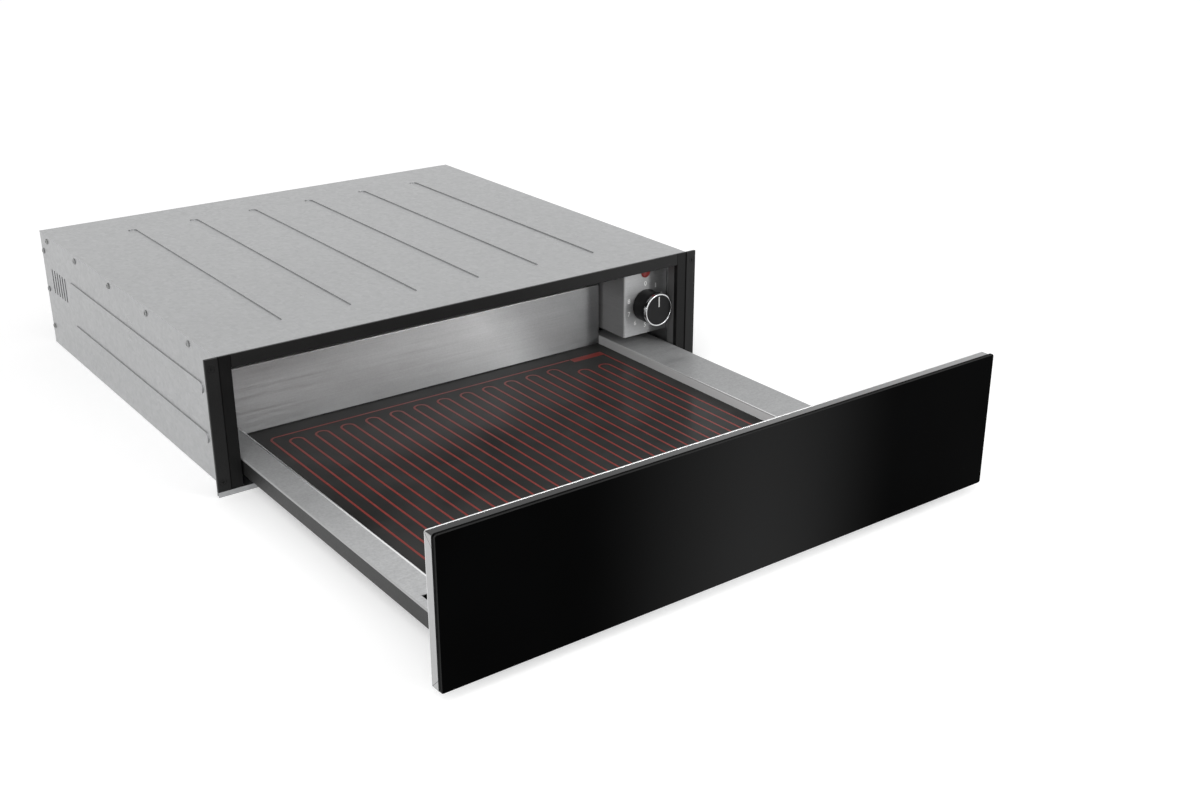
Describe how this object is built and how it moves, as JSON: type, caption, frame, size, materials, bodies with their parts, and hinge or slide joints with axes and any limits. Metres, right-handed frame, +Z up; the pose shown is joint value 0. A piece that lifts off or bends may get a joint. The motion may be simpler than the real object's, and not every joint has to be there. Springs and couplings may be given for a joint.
{
  "type": "built in warming drawer",
  "caption": "Built in warming drawer, pulled open: gloss black front, brushed steel drawer with a heated glass floor, casing with black trims and a control knob inside the opening.",
  "frame": {"origin": "on the underside of the casing, midway between the sides and midway between the opened front and the rear of the casing", "axes": "+X to the right seen from the front, +Y from the front to the rear, +Z up; the drawer stands open towards -Y"},
  "size_m": [0.595, 0.9434, 0.14],
  "materials": {
    "black_glass": "high gloss, opaque black",
    "floor_glass": "gloss, opaque dark grey",
    "silver_frame": "satin",
    "brushed_steel": "brushed",
    "galvanised": "galvanised, fine spangle",
    "runner_steel": "zinc plated",
    "black_paint": "satin black",
    "black_plastic": "fine matt",
    "black_rubber": "matt",
    "chrome": "polished",
    "white_plastic": "matt",
    "red_lens": "gloss, translucent",
    "heating_foil": "dark red, matt",
    "mineral_wool": "fibrous",
    "ceramic": "unglazed ceramic"
  },
  "bodies": {
    "casing": {"base_pan": "galvanised", "top_cover": "galvanised", "rear_panel": "galvanised", "side_panel_left": "galvanised", "side_panel_right": "galvanised", "front_crossbar": "black_paint", "front_trim_left": "black_paint", "front_trim_right": "black_paint", "trim_screw_left_lower": "black_paint", "trim_screw_left_upper": "black_paint", "trim_screw_right_lower": "black_paint", "trim_screw_right_upper": "black_paint", "runner_bracket_left": "galvanised", "runner_bracket_right": "galvanised", "runner_cabinet_member_left": "runner_steel", "runner_cabinet_member_right": "runner_steel", "catch_body": "black_plastic", "control_box": "brushed_steel", "thermostat_body": "black_plastic", "indicator_lens": "red_lens", "indicator_lamp": "white_plastic", "cable_gland": "black_plastic", "mains_terminal": "ceramic"},
    "drawer": {"runner_drawer_member_left": "runner_steel", "runner_drawer_member_right": "runner_steel", "drawer_hanger_left": "galvanised", "drawer_hanger_right": "galvanised", "front_glass": "black_glass", "glass_bond": "black_rubber", "front_frame": "silver_frame", "front_inner_panel": "brushed_steel", "front_bracket_left": "galvanised", "front_bracket_right": "galvanised", "buffer_left_lower": "black_rubber", "buffer_left_upper": "black_rubber", "buffer_right_lower": "black_rubber", "buffer_right_upper": "black_rubber", "side_rail_left": "brushed_steel", "side_rail_right": "brushed_steel", "floor_ledge_left": "brushed_steel", "floor_ledge_right": "brushed_steel", "back_wall": "brushed_steel", "front_cross_rail": "brushed_steel", "glass_floor": "floor_glass", "heating_element": "heating_foil", "heater_pan": "galvanised", "insulation_pad": "mineral_wool", "temperature_limiter": "black_plastic", "heater_terminal": "ceramic", "lead_clamp": "white_plastic", "catch_striker": "galvanised"},
    "runner_left": {"runner_middle_member_left": "runner_steel"},
    "runner_right": {"runner_middle_member_right": "runner_steel"},
    "control_knob": {"knob": "black_plastic", "knob_ring": "chrome", "knob_pointer": "white_plastic", "thermostat_shaft": "runner_steel"},
    "push_plunger": {"catch_plunger": "white_plastic"}
  },
  "joints": [
    {"name": "drawer_slide", "type": "slide", "parent": "casing", "child": "drawer", "axis": [0, 1, 0], "range_m": [0, 0.399]},
    {"name": "runner_left_slide", "type": "slide", "parent": "casing", "child": "runner_left", "axis": [0, 1, 0], "range_m": [0, 0.1995]},
    {"name": "runner_right_slide", "type": "slide", "parent": "casing", "child": "runner_right", "axis": [0, 1, 0], "range_m": [0, 0.1995]},
    {"name": "knob_turn", "type": "hinge", "parent": "casing", "child": "control_knob", "pos_m": [0.2466, -0.03, 0.0747], "axis": [0, 1, 0], "range_deg": [0, 288]},
    {"name": "catch_push", "type": "slide", "parent": "casing", "child": "push_plunger", "axis": [0, 1, 0], "range_m": [0, 0.004], "stiffness_N_per_m": 600}
  ],
  "couplings": [
    {"joint": "runner_left_slide", "follows": "drawer_slide", "ratio": 0.5},
    {"joint": "runner_right_slide", "follows": "drawer_slide", "ratio": 0.5}
  ]
}
